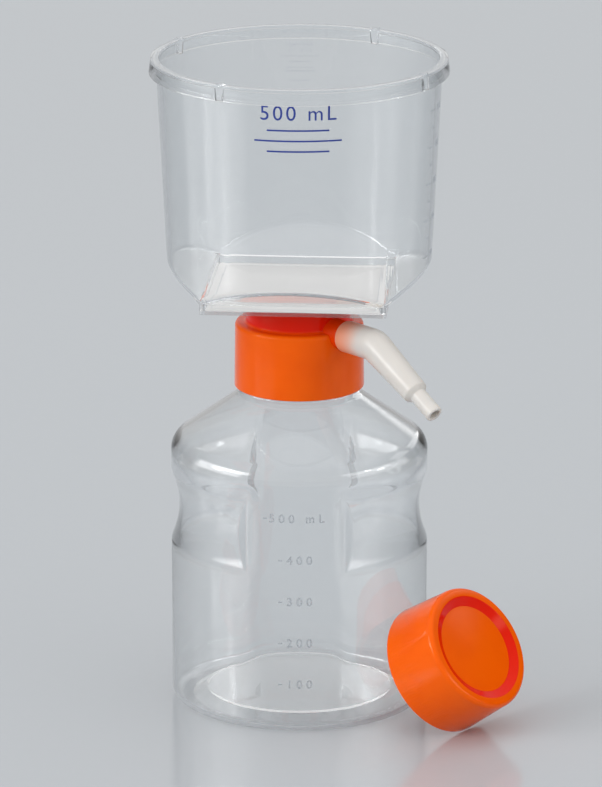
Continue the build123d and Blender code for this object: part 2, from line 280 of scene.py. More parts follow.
def divided(outline, spacing, low, high):
    """The outline with more rows, about a spacing apart in height, between two heights."""
    nearest = 1e-4  # share of a run that a new row keeps from the run's ends
    corners = outline.swapaxes(0, 1)
    rows = [corners[0]]
    for start, end in zip(corners[:-1], corners[1:]):
        foot, top = sorted((start[0, 1], end[0, 1]))
        foot, top = max(foot, low), min(top, high)
        cuts = int((top - foot) / spacing)
        levels = np.linspace(foot, top, cuts + 1) if cuts > 1 else []
        shares = sorted((level - start[0, 1]) / (end[0, 1] - start[0, 1]) for level in levels)
        inside = [share for share in shares if nearest < share < 1 - nearest]
        rows.extend(start + (end - start) * share for share in inside)
        rows.append(end)
    return np.stack(rows, axis=1)


def directions(count, crowded=(), spread=0.0, extra=0):
    """Evenly spaced directions about the axis, and extra ones within a spread of each crowded."""
    found = [np.arange(count) * 2 * pi / count]
    for middle in crowded:
        found.append(middle + np.linspace(-spread, spread, extra))
    merged = np.unique(np.round(np.mod(np.concatenate(found), 2 * pi), 7))
    keep = np.append(np.diff(merged) > radians(0.02), True)
    return merged[keep]


def added(name, data):
    """A new object in the scene."""
    made = bpy.data.objects.new(name, data)
    bpy.context.scene.collection.objects.link(made)
    return made


def mesh_object(name, points, faces):
    """A mesh object in the scene, shaded smooth but for its sharp edges."""
    mesh = bpy.data.meshes.new(name)
    mesh.from_pydata([tuple(p) for p in points], [], faces)
    mesh.shade_smooth()
    mesh.set_sharp_from_angle(angle=radians(38))
    mesh.update()
    return added(name, mesh)


def turned(name, angles, outline, closed=False, place=None):
    """Solid whose outline is taken round the Z axis, then placed.

    The outline runs with the solid on its left. It starts and ends on the axis, or is closed."""
    count = len(angles)
    radius = np.broadcast_to(outline[:, :, 0], (count, outline.shape[1]))
    height = np.broadcast_to(outline[:, :, 1], (count, outline.shape[1]))
    east, north = radius * np.cos(angles)[:, None], radius * np.sin(angles)[:, None]
    rings = np.stack([east, north, height], axis=2).transpose(1, 0, 2)
    if not closed:
        poles = [rings[0, 0], rings[-1, 0]]
        rings = rings[1:-1]
    rows = len(rings)
    points = rings.reshape(-1, 3)
    here = np.arange(count)
    after = (here + 1) % count
    faces = []
    for row in range(rows if closed else rows - 1):
        low = row * count
        high = ((row + 1) % rows) * count
        ring = np.stack([low + here, low + after, high + after, high + here], axis=1)
        faces.extend(ring.tolist())
    if not closed:
        points = np.concatenate([points, poles])
        top = (rows - 1) * count
        first = np.full(count, rows * count)
        faces.extend(np.stack([first, after, here], axis=1).tolist())
        faces.extend(np.stack([first + 1, top + here, top + after], axis=1).tolist())
    if place is not None:
        points = points @ np.array(place.to_3x3()).T + np.array(place.translation)
    return mesh_object(name, points, faces)


def axis_place(start, along):
    """Matrix that lays a turned solid's Z axis along a direction from a start."""
    return Matrix.Translation(start) @ along.to_track_quat("Z", "Y").to_matrix().to_4x4()


def bar_faces(steps):
    """Faces of a bar with four points at each of its steps, closed at both ends."""
    faces = [(0, 1, 2, 3)]
    for i in range(steps):
        for side in range(4):
            a = 4 * i + side
            b = 4 * i + (side + 1) % 4
            faces.append((a, a + 4, b + 4, b))
    last = 4 * steps
    faces.append((last + 3, last + 2, last + 1, last))
    return faces


def ridge(name, radius, depth, start, place=None):
    """A thread's ridge wound inside a round wall from a height up, standing depth off it."""
    turns, pitch, half = 1.4, 6.0 * MM, 1.0 * MM
    steps = int(turns * 96)
    sunk = 0.2 * depth  # how far its foot stands inside the wall
    ends = 14  # the ridge dies away over a fourteenth of its length at either end
    points = []
    for i in range(steps + 1):
        at = 2 * pi * turns * i / steps
        middle = start + pitch * turns * i / steps
        ease = min(1.0, ends * i / steps, ends * (steps - i) / steps)
        crest = radius - depth * max(ease, 0.02)
        root = radius + sunk
        section = ((root, -half), (crest, -0.45 * half), (crest, 0.45 * half), (root, half))
        points += [(reach * cos(at), reach * sin(at), middle + rise) for reach, rise in section]
    if place is not None:
        points = [place @ Vector(p) for p in points]
    return mesh_object(name, points, bar_faces(steps))


def soft_least(a, b, softness):
    """The lesser of two surfaces, rounded where they meet."""
    near = np.maximum(softness - np.abs(a - b), 0)
    return np.minimum(a, b) - near**2 / (4 * softness)


def square_reach(angles, half, corner):
    """Distance from the axis to a square with rounded corners, in each direction."""
    x = np.abs(np.cos(angles))
    y = np.abs(np.sin(angles))
    flat = half / np.maximum(x, y)
    inner = half - corner
    along = inner * (x + y)
    turned_at = along + np.sqrt(np.maximum(along**2 - 2 * inner**2 + corner**2, 0))
    in_corner = (turned_at * x > inner) & (turned_at * y > inner)
    return np.where(in_corner, turned_at, flat)


# ---- Markings ----
def marking(name, words, size, thickness, surface, middle, height, bevel=0.0, spacing=1.0):
    """Words or numbers as a thin solid, wrapped on a round surface.

    surface gives the radius at a height, middle the direction of the words' middle."""
    curve = bpy.data.curves.new(name, "FONT")
    curve.body = words
    curve.size = size
    curve.align_x = "CENTER"
    curve.align_y = "CENTER"
    curve.space_character = spacing
    curve.extrude = thickness / 2 - bevel
    curve.bevel_depth = bevel
    curve.bevel_resolution = 1
    curve.resolution_u = 4
    flat = added(name, curve)
    bpy.context.view_layer.update()
    mesh = bpy.data.meshes.new_from_object(flat)
    bpy.data.objects.remove(flat)
    for vertex in mesh.vertices:
        x, y, out = vertex.co
        z = height + y
        radius = surface(z) + thickness / 2 + out
        at = middle + x / surface(height)
        vertex.co = (radius * cos(at), radius * sin(at), z)
    return added(name, mesh)


def rule(name, width, line, thickness, surface, middle, height):
    """A straight mark as a thin solid, wrapped on a round surface."""
    steps = max(2, int(width / (1.2 * MM)))
    half = line / 2
    points = []
    for i in range(steps + 1):
        at = middle + (i / steps - 0.5) * width / surface(height)
        for out, rise in ((0, -half), (thickness, -half), (thickness, half), (0, half)):
            radius = surface(height + rise) + out
            points.append((radius * cos(at), radius * sin(at), height + rise))
    made = mesh_object(name, points, bar_faces(steps))
    made.data.shade_flat()
    return made


def joined(name, pieces):
    """One object from several."""
    bpy.ops.object.select_all(action="DESELECT")
    for piece in pieces:
        piece.select_set(True)
    bpy.context.view_layer.objects.active = pieces[0]
    bpy.ops.object.join()
    pieces[0].name = name
    pieces[0].data.name = name
    return pieces[0]


def coat(solid, material):
    """Gives an object a material in place of any others."""
    solid.data.materials.clear()
    solid.data.materials.append(material)


def finish_piece(piece, material, body, slot, *nodes):
    """Gives a piece its material and its body, and hides the CAD nodes that it stands for; slot is
    not used.
    """
    coat(piece, material)
    if nodes:
        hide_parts(*nodes)
    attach(piece, body)


# ---- Materials ----
def arithmetic(operation, reflected=False):
    """A method that puts an Amount, and the value after it if there is one, through a Math node."""

    def method(amount, *others):
        values = (*others, amount) if reflected else (amount, *others)
        inputs = dict(enumerate(values))
        return amount.finish.amount("ShaderNodeMath", inputs, operation=operation)

    return method


class Amount:
    """A number that varies over a surface, written as arithmetic on a node's socket."""

    def __init__(self, finish, socket):
        self.finish = finish
        self.socket = socket

    __add__ = arithmetic("ADD")
    __radd__ = arithmetic("ADD", reflected=True)
    __sub__ = arithmetic("SUBTRACT")
    __rsub__ = arithmetic("SUBTRACT", reflected=True)
    __mul__ = arithmetic("MULTIPLY")
    __rmul__ = arithmetic("MULTIPLY", reflected=True)
    __truediv__ = arithmetic("DIVIDE")
    __pow__ = arithmetic("POWER")
    __abs__ = arithmetic("ABSOLUTE")
    sine = arithmetic("SINE")
    exponential = arithmetic("EXPONENT")
    bearing = arithmetic("ARCTAN2")  # of this as the Y and the other as the X
    above = arithmetic("GREATER_THAN")  # 1 where this is greater than the other, else 0
    most = arithmetic("MAXIMUM")

    def between(self, low, high):
        """0 at low, 1 at high, eased in between."""
        inputs = {"Value": self, "From Min": low, "From Max": high}
        eased = {"interpolation_type": "SMOOTHSTEP", "clamp": True}
        return self.finish.amount("ShaderNodeMapRange", inputs, **eased)


class Finish:
    """A material, or the surroundings, being made."""

    def __init__(self, name, owner=None):
        self.owner = owner or bpy.data.materials.new(name)
        self.owner.use_nodes = True
        self.tree = self.owner.node_tree
        self.tree.nodes.clear()

    def node(self, kind, settings=None, inputs=None):
        """One node: its settings are set first, then the values or links of its sockets."""
        made = self.tree.nodes.new(kind)
        for name, value in (settings or {}).items():
            setattr(made, name, value)
        for name, value in (inputs or {}).items():
            source = value.socket if isinstance(value, Amount) else value
            if isinstance(source, bpy.types.NodeSocket):
                self.tree.links.new(source, made.inputs[name])
            else:
                made.inputs[name].default_value = source
        return made

    def made(self, kind, inputs=None, output=0, **settings):
        """One output of a new node."""
        return self.node(kind, settings, inputs).outputs[output]

    def amount(self, kind, inputs=None, output=0, **settings):
        """One output of a new node, as an Amount."""
        return Amount(self, self.made(kind, inputs, output, **settings))

    def place(self):
        """Position on the object, in its own frame."""
        return self.made("ShaderNodeTexCoord", output="Object")

    def moved(self, operation, vector, by):
        """A vector and a fixed one, added or subtracted."""
        return self.made("ShaderNodeVectorMath", {0: vector, 1: tuple(by)}, operation=operation)

    def along(self, vector, direction):
        """How far a vector reaches along a direction."""
        inputs = {0: vector, 1: tuple(direction)}
        return self.amount("ShaderNodeVectorMath", inputs, 1, operation="DOT_PRODUCT")

    def apart(self, vector):
        """A vector's three parts."""
        parts = self.node("ShaderNodeSeparateXYZ", None, {0: vector}).outputs
        return [Amount(self, part) for part in parts]

    def noise(self, scale, detail):
        """Soft noise about 0.5, where scale counts its waves in a metre."""
        inputs = {"Vector": self.place(), "Scale": scale, "Detail": detail}
        return self.amount("ShaderNodeTexNoise", inputs)

    def blend(self, share, first, second):
        """A colour that goes from the first to the second."""
        inputs = {0: share, 6: tinted(first), 7: tinted(second)}
        return self.made("ShaderNodeMix", inputs, 2, data_type="RGBA", clamp_factor=True)

    def relief(self, height, distance, strength):
        """A normal for bumps that stand as high as distance, in metres."""
        inputs = {"Height": height, "Distance": distance, "Strength": strength}
        return self.made("ShaderNodeBump", inputs)

    def mixed(self, factor, first, second):
        """A shader that goes from the first to the second."""
        return self.made("ShaderNodeMixShader", {0: factor, 1: first, 2: second})

    def ended(self, shader):
        """Ends the material with a shader, and gives it."""
        self.node("ShaderNodeOutputMaterial", None, {"Surface": shader})
        return self.owner

    def shown(self, inputs):
        """Ends the material with a Principled shader, and gives it."""
        return self.ended(self.made("ShaderNodeBsdfPrincipled", inputs))


def tinted(value):
    """A colour with its alpha, or a socket as it is."""
    return value if isinstance(value, bpy.types.NodeSocket) else (*value[:3], 1.0)


def scaled(tint, *shares):
    """A colour whose parts are each taken by their own share, or all by one."""
    shares = shares if len(shares) > 1 else shares * 3
    return [part * share for part, share in zip(tint, shares)]


def clear_plastic(name, tint, roughness=0.015, waviness=0.02, body_share=1.0):
    """Clear polystyrene: refracts, mirrors, and lets light through to what is behind."""
    finish = Finish(name)
    waves = finish.noise(38.0, 1.0)
    look = {
        "Base Color": tinted(tint),
        "Roughness": roughness,
        "IOR": 1.59,
        "Transmission Weight": 1.0,
        "Alpha": body_share,
        "Normal": finish.relief(waves, 0.4 * MM, waviness),
    }
    body = finish.made("ShaderNodeBsdfPrincipled", look)
    path = finish.node("ShaderNodeLightPath").outputs

    def opened(factor, shader, share):
        """The shader, but for rays that go straight through as far as the factor says."""
        inputs = {"Color": (share, share, share, 1.0)}
        return finish.mixed(factor, shader, finish.made("ShaderNodeBsdfTransparent", inputs))

    # A ray that was mirrored inside the wall leaves it, and isn't mirrored over and over.
    backs = finish.made("ShaderNodeNewGeometry", output="Backfacing")
    shader = finish.mixed(path["Is Reflection Ray"], body, opened(backs, body, 0.97))
    for ray in ("Is Diffuse Ray", "Is Shadow Ray"):
        shader = opened(path[ray], shader, 0.93)
    return finish.ended(shader)


def orange_plastic(name, tint, place=None, recess=None, ribs=None):
    """Glossy moulded polyethylene, with the faint unevenness of its tool.

    place is the piece's own frame. recess is where painted shade makes the colour darker and
    redder, given as its inner and outer radius and the heights between which the painted shade
    grows; ribs are fine lines up the side, given as their number and the heights between which they
    stand."""
    finish = Finish(name)
    cloud = finish.noise(60.0, 3.0)
    fine = finish.noise(900.0, 2.0)
    shade = finish.blend(cloud.between(0.35, 0.7), tint, scaled(tint, 0.95, 0.88, 0.8))
    height = 0.6 * cloud + 0.4 * fine
    if place is not None:
        back = place.inverted()
        turn = {0: finish.place(), "Rotation": tuple(back.to_euler())}
        level = finish.made("ShaderNodeVectorRotate", turn, rotation_type="EULER_XYZ")
        x, y, z = finish.apart(finish.moved("ADD", level, back.translation))
        radius = (x * x + y * y) ** 0.5
        # Painted shade: the colour goes darker and redder over the recess, where shade would fall.
        inner, outer, low, high = recess
        past_inner = radius.between(inner - 0.3 * MM, inner)
        past_outer = radius.between(outer, outer + 0.4 * MM)
        deep = past_inner * (1.0 - past_outer) * z.between(low, high) * 0.95
        shade = finish.blend(deep, shade, scaled(tint, 0.86, 0.02, 0.06))
        if ribs:
            count, foot, top = ribs
            wave = (float(count) * y.bearing(x)).sine()
            upright = z.between(foot - 1 * MM, foot) * (1.0 - z.between(top, top + 6 * MM))
            height = height + 1.5 * wave * upright
    look = {
        "Base Color": shade,
        "Roughness": 0.09 + 0.07 * cloud,
        "IOR": 1.5,
        "Specular IOR Level": 0.22,
        "Specular Tint": (1.0, 0.5, 0.2, 1.0),
        "Coat Weight": 0.18,
        "Coat Roughness": 0.04,
        "Coat IOR": 1.45,
        "Subsurface Weight": 0.08,
        "Subsurface Radius": (1.0, 0.3, 0.1),
        "Subsurface Scale": 0.8 * MM,
        "Normal": finish.relief(height, 0.05 * MM, 0.25),
    }
    return finish.shown(look)


def milky_plastic(settings, centre, along):
    """Milky polyethylene, with the orange spigot's show-through painted into its colour over the
    socket.

    centre is the middle of the collar at the port's height, along the port's direction."""
    finish = Finish("milky_plastic")
    port = settings.closure
    tint = settings.finish.milky
    reach = finish.along(finish.moved("SUBTRACT", finish.place(), centre), along)
    cloud = finish.noise(130.0, 3.0)
    wavering = reach + (cloud - 0.5) * (2.4 * MM)
    # Painted light: the orange of the spigot seen through the milky wall, fading out past the
    # spigot's end.
    beyond = wavering.between(port.boss_end + 3.0 * MM, port.spigot_end + 1.0 * MM)
    painted_spigot_show_through = (0.86, 0.36, 0.22)
    cool = finish.blend(cloud, tint, scaled(tint, 0.93))
    look = {
        "Base Color": finish.blend(beyond, painted_spigot_show_through, cool),
        "Roughness": 0.26 + 0.12 * cloud,
        "IOR": 1.5,
        "Subsurface Weight": 0.45,
        "Subsurface Radius": (1.0, 0.9, 0.8),
        "Subsurface Scale": 2.2 * MM,
        "Normal": finish.relief(cloud, 0.15 * MM, 0.3),
    }
    return finish.shown(look)


def membrane_sheet(s, tint):
    """White micro-porous sheet with its bonded edge."""
    finish = Finish("membrane_sheet")
    turn = {"Vector": finish.place(), "Angle": -s.turn}
    level = finish.made("ShaderNodeVectorRotate", turn, rotation_type="Z_AXIS")
    x, y, _ = finish.apart(level)
    across = abs(x).most(abs(y))
    half = s.filter_width / 2
    bonded = across.between(half + 0.1 * MM, half + 0.5 * MM)
    seam = 1.0 - abs(across - (half + 0.3 * MM)).between(0.0, 0.45 * MM)
    cloud = finish.noise(35.0, 4.0)
    pores = finish.noise(4000.0, 2.0)
    sheet = finish.blend(cloud.between(0.3, 0.7), tint, scaled(tint, 0.95))
    edge = finish.blend(bonded, sheet, scaled(tint, 1.03))
    look = {
        "Base Color": finish.blend(0.5 * seam, edge, (0.45, 0.47, 0.5)),
        "Roughness": 0.75 - 0.3 * bonded,
        "Normal": finish.relief(pores * 0.5 + cloud * 0.5, 0.03 * MM, 0.3),
    }
    return finish.shown(look)


def grained(name, noise, colours, roughness, bump, cover=1.0):
    """A plain surface with a fine grain.

    noise is the grain's scale and detail, and colours are what it goes between. roughness is the
    least and how much the grain adds, and bump is the grain's height and strength."""
    finish = Finish(name)
    grain = finish.noise(*noise)
    least, added = roughness
    look = {
        "Base Color": finish.blend(grain, *colours),
        "Roughness": least + added * grain,
        "Alpha": cover,
        "Normal": finish.relief(grain, *bump),
    }
    return finish.shown(look)


def moulded_mark(name, cover):
    """Raised marks of the clear plastic, in a half-clear grey that is painted shade for the darker
    lines of the clear relief; their rounded edges catch the light.
    """
    # Painted shade: clear marks drawn grey and partly opaque.
    tint = (0.42, 0.46, 0.50)
    return grained(name, (1500.0, 2.0), (tint, tint), (0.22, 0.1), (0.02 * MM, 0.5), cover)


def printed(name, tint):
    """Ink printed on the wall, thin in places."""
    finish = Finish(name)
    speckle = finish.noise(2600.0, 3.0)
    paler = [0.6 * part + 0.03 for part in tint]
    look = {
        "Base Color": finish.blend(speckle.between(0.3, 0.75), tint, paler),
        "Roughness": 0.45 + 0.15 * speckle,
        "Alpha": 0.94 - 0.2 * speckle.between(0.55, 0.8),
    }
    return finish.shown(look)


# ---- Sizes that pieces share ----
def square_corners(s):
    """Directions of the square base's four corners."""
    return [s.turn + radians(45) + k * pi / 2 for k in range(4)]


def round_wall(s, height):
    """Outside radius of the funnel's round wall at a height."""
    foot = PLATE_HIGH.z + s.seat_height
    return s.seat_width / 2 * sqrt(2) + s.wall_clearance + (height - foot) * tan(s.draft)


def port_line(port):
    """Point on the bottle's axis that the vacuum port starts from, and where the port points."""
    centre = Vector((0, 0, COLLAR_LOW.z + port.height - port.port_drop))
    return centre, Vector((cos(port.port_bearing), sin(port.port_bearing), 0))


# ---- Pieces ----
class FILTERUNIT_OT_bottle(Operator):
    """Builds the storage bottle with its grips, bead and neck thread"""

    bl_idname = "filterunit.bottle"
    bl_label = "Storage bottle"

    GRIP_ROWS, NECK_ROWS = 0.75 * MM, 0.5 * MM  # spacing of the outline's rows there
    MARGIN = 3 * MM  # from the edge of a grip's groove to where the closer rows begin
    ROUNDING = 2.5 * MM  # from the groove's edge to where it fades out, besides its softness
    WALL_BAND = 2 * MM  # how far inside the wall's face a row is still part of the side

    def grip_surface(self, s, angles, height, inset, corner):
        """Radius of the finger grips' surface, for each direction and height."""
        steepest = 0.98  # the most of its radius that the rounded section uses
        floor = s.radius - s.grip_depth
        edge = Vector((s.radius * sin(s.grip_edge), s.radius * cos(s.grip_edge)))
        deep = Vector((floor * sin(s.grip_floor), floor * cos(s.grip_floor)))
        across = (deep - edge).normalized()
        out = Vector((-across.y, across.x))
        from_x = np.arctan2(np.abs(np.sin(angles)), np.abs(np.cos(angles)))
        square_on = atan2(out.y, out.x)
        ends = (out.dot(edge) - inset) / np.cos(np.maximum(from_x, square_on) - square_on)
        curve = s.grip_curve + inset
        rise = np.minimum(np.abs(height - s.grip_height), steepest * curve)
        groove = floor + s.grip_curve - np.sqrt(curve**2 - rise**2)
        return -soft_least(-groove, -ends[:, None], corner)

    def thread(self, s, angles, outline, low, high):
        """How far the helical thread lifts the neck, for each direction and row."""
        start = 5.2 * MM  # height of the thread's lower end above the bead
        root, flank = 1.5 * MM, 0.9 * MM  # half width at the foot, and width of a sloping side
        ends = 12  # the thread dies away over a twelfth of a turn at either end
        radius = outline[0, :, 0]
        height = outline[0, :, 1]
        on_neck = (np.abs(radius - s.neck_radius) < 0.05 * MM) & (height > low) & (height < high)
        lifted = np.zeros((len(angles), len(height)))
        for turn in range(int(s.thread_turns) + 1):
            along = angles / (2 * pi) + turn
            middle = low + start + s.thread_pitch * along
            ease = np.clip(np.minimum(along, s.thread_turns - along) * ends, 0, 1)
            off = np.abs(height[None, :] - middle[:, None])
            crest = np.clip((root - off) / flank, 0, 1)
            lifted = np.maximum(lifted, s.thread_depth * crest * ease[:, None])
        return lifted * on_neck[None, :]

    def execute(self, context):
        s = context.scene.filter_unit.bottle
        inset = s.wall
        foot = s.radius - s.heel - s.foot_band
        inner_foot = foot + inset * tan(s.base_slope / 2)
        slope_run = s.base_rise / tan(s.base_slope)
        reach = tan((pi / 2 - s.shoulder_fall) / 2)  # of the shoulder's arc, for its radius
        crown = s.side_top + s.shoulder * reach
        inner_crown = crown - inset * reach
        fall = tan(s.shoulder_fall)
        bead_top = COLLAR_LOW.z - s.bead_gap
        bead_foot = crown + (s.radius - s.bead_radius) * fall
        bore_foot = inner_crown + (s.radius - inset - s.neck_bore) * fall
        lip = BOTTLE_HIGH.z
        corners = [
            (0, s.base_rise, 0),
            (foot - slope_run, s.base_rise, 1.6 * MM),
            (foot, 0, 0.8 * MM),
            (s.radius, 0, s.heel),
            (s.radius, crown, s.shoulder),
            (s.bead_radius, bead_foot, 2.2 * MM),
            (s.bead_radius - s.bead_lean, bead_top, 0.9 * MM),
            (s.neck_radius, bead_top, 0.5 * MM),
            (s.neck_radius, lip, 0.6 * MM),
            (s.neck_bore, lip, 0.5 * MM),
            (s.neck_bore, bore_foot, 9.5 * MM),
            (s.radius - inset, inner_crown, s.inner_shoulder),
            (s.radius - inset, inset, s.heel - inset),
            (inner_foot, inset, 1.5 * MM),
            (inner_foot - slope_run, s.base_rise + inset, 1.2 * MM),
            (0, s.base_rise + inset, 0),
        ]
        outline = rounded(corners, 5)
        # The grips and the thread are pressed into the outline, so it gets more rows there.
        groove = sqrt(s.grip_curve**2 - (s.grip_curve - s.grip_depth) ** 2)
        grip_low = s.grip_height - groove - self.MARGIN
        outline = divided(outline, self.GRIP_ROWS, grip_low, s.side_top)
        off_lip = np.hypot(outline[0, :, 0] - s.neck_bore, outline[0, :, 1] - lip)
        split = int(np.argmin(off_lip))  # the row where the outside ends
        neck = divided(outline[:, :split], self.NECK_ROWS, bead_top, lip)
        outline = np.concatenate([neck, outline[:, split:]], axis=1)
        split = neck.shape[1]
        middle = (s.grip_edge + s.grip_floor) / 2
        crowded = [side * pi / 2 + end * middle for side in (-1, 1) for end in (-1, 1)]
        angles = directions(180, crowded, spread=radians(4.6), extra=46)
        radius = np.broadcast_to(outline[:, :, 0], (len(angles), outline.shape[1])).copy()
        height = np.broadcast_to(outline[:, :, 1], radius.shape)
        outside = (slice(0, split), 0.0, s.grip_softness, s.grip_corner)
        inside = (slice(split, None), inset, s.inner_softness, s.inner_corner)
        for rows, depth, softness, grip_corner in (outside, inside):
            grips = self.grip_surface(s, angles, height[:, rows], depth, grip_corner)
            on_side = radius[:, rows] > s.radius - inset - self.WALL_BAND
            farthest = groove + self.ROUNDING + softness
            near = np.abs(height[:, rows] - s.grip_height) < farthest
            lowered = soft_least(radius[:, rows], grips, softness)
            radius[:, rows] = np.where(on_side & near, lowered, radius[:, rows])
        radius += self.thread(s, angles, outline, bead_top, lip)
        piece = turned("storage_bottle", angles, np.stack([radius, height], axis=2))
        tint = context.scene.filter_unit.finish.clear
        clear = clear_plastic("clear_bottle", tint, waviness=0.04)
        finish_piece(piece, clear, "bottle", "clear_plastic", "bottle")
        return {"FINISHED"}


class FILTERUNIT_OT_bottle_marks(Operator):
    """Adds the bottle's raised graduations"""

    bl_idname = "filterunit.bottle_marks"
    bl_label = "Bottle graduations"

    FIRST, STEP = 18.5 * MM, 15.5 * MM  # height of the 100 mL mark, and of 100 mL
    FRONT = radians(-88.2)  # direction of the numbers' middle
    # Words, how many degrees they stand further round, and their width.
    NUMBERS = [(f"{step}00", 0, 9.9 * MM) for step in range(1, 5)] + [("500 mL", 1.2, 19.0 * MM)]
    LETTERS = (4.4 * MM, 0.24 * MM)  # size and thickness
    BEVEL, SPACING = 0.07 * MM, 1.6
    LINE = (1.5 * MM, 0.4 * MM, 0.2 * MM)  # length, width and thickness
    GAP = 1.9 * MM  # from the words to a line's middle

    def execute(self, context):
        s = context.scene.filter_unit.bottle

        def surface(height):
            return s.radius + ON_WALL

        marks = []
        for step, (words, further, wide) in enumerate(self.NUMBERS):
            height = self.FIRST + self.STEP * step
            middle = self.FRONT - radians(further)
            place = (surface, middle, height)
            marks.append(marking("mark", words, *self.LETTERS, *place, self.BEVEL, self.SPACING))
            middle -= (wide / 2 + self.GAP) / s.radius
            marks.append(rule("mark", *self.LINE, surface, middle, height))
        piece = joined("bottle_graduations", marks)
        finish_piece(piece, moulded_mark("raised_mark", 0.38), "bottle", "clear_plastic")
        return {"FINISHED"}


class FILTERUNIT_OT_closure(Operator):
    """Builds the screw collar with its stem, thread, boss and spigot, and finishes the seal"""

    bl_idname = "filterunit.closure"
    bl_label = "Screw collar"

    def execute(self, context):
        settings = context.scene.filter_unit
        s = settings.closure
        tint = settings.finish.orange
        foot = COLLAR_LOW.z
        top = foot + s.height
        stem_top = COLLAR_HIGH.z
        roof = top - s.roof
        stem_bore = s.stem_radius - s.stem_wall
        corners = [
            (s.bore, foot, 0.4 * MM),
            (s.foot_radius, foot, 0.5 * MM),
            (s.top_radius, top, s.edge),
            (s.stem_radius, top, 0.9 * MM),
            (s.stem_radius, stem_top, 0.3 * MM),
            (stem_bore, stem_top, 0.3 * MM),
            (stem_bore, roof, 0.3 * MM),
            (s.bore, roof, 0.5 * MM),
        ]
        # Painted shadow of the support plate: the stem and the collar's top go darker and redder
        # under it.
        painted_shadow_under_plate = (stem_bore, s.top_radius - 0.8 * MM, top - 0.8 * MM, top + 1.2 * MM)
        orange = orange_plastic("orange_collar", tint, Matrix.Identity(4), painted_shadow_under_plate)
        skirt = turned("screw_collar_skirt", directions(256), rounded(corners, 7), closed=True)
        finish_piece(skirt, orange, "filter", "orange_plastic", "screw_collar")
        start = s.stem_radius - s.stem_wall / 2
        corners = [
            (s.spigot_bore, start, 0),
            (s.boss_radius, start, 0),
            (s.boss_radius, s.boss_end, 0.5 * MM),
            (s.spigot_radius, s.boss_end, 0.4 * MM),
            (s.spigot_radius, s.spigot_end, 0.4 * MM),
            (s.spigot_bore, s.spigot_end, 0.3 * MM),
        ]
        place = axis_place(*port_line(s))
        port = turned("vacuum_port", directions(96), rounded(corners, 5), closed=True, place=place)
        # Painted shade: the port is a darker, redder copy of the collar's orange, for the shade it
        # lies in.
        shaded = orange_plastic("orange_port_painted_shade", scaled(tint, 0.85, 0.4, 0.4))
        finish_piece(port, shaded, "filter", "orange_plastic")
        thread = ridge("collar_thread", s.bore, 1.15 * MM, foot + 4.4 * MM)
        finish_piece(thread, orange, "filter", "orange_plastic")
        foam = ((0.84, 0.84, 0.81), (0.72, 0.72, 0.69))
        material = grained("seal_foam", (1800.0, 3.0), foam, (0.7, 0.2), (0.1 * MM, 0.6))
        coat(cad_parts["neck_seal"], material)
        return {"FINISHED"}


class FILTERUNIT_OT_filter(Operator):
    """Builds the membrane and finishes the support plate under it"""

    bl_idname = "filterunit.filter"
    bl_label = "Membrane and plate"

    def execute(self, context):
        settings = context.scene.filter_unit
        s = settings.funnel
        half = s.seat_width / 2 - s.wall - 0.05 * MM
        low = MEMBRANE_LOW.z + SKIN
        high = MEMBRANE_HIGH.z
        edge_high = high - 0.02 * MM  # the sheet is thinner outside its bonded seam
        angles = directions(160, square_corners(s), spread=radians(1.5), extra=7)
        edge = square_reach(angles - s.turn, half, 2 * s.seat_corner)
        bond = square_reach(angles - s.turn, s.filter_width / 2, 0.5 * MM)
        corners = [
            (0, low, 0),
            (bond, low, 0),
            (edge, low, 0),
            (edge, edge_high, 0),
            (bond + 0.5 * MM, edge_high, 0),
            (bond + 0.2 * MM, high - 0.07 * MM, 0),
            (bond, high, 0),
            (bond * 0.5, high, 0),
            (0, high, 0),
        ]
        piece = turned("membrane_sheet", angles, rounded(corners, 1))
        material = membrane_sheet(s, settings.finish.membrane)
        finish_piece(piece, material, "filter", "white_membrane", "membrane")
        plate = clear_plastic(
            "clear_plate", settings.finish.clear, roughness=0.04, waviness=0.01, body_share=0.4
        )
        coat(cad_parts["support_plate"], plate)
        return {"FINISHED"}


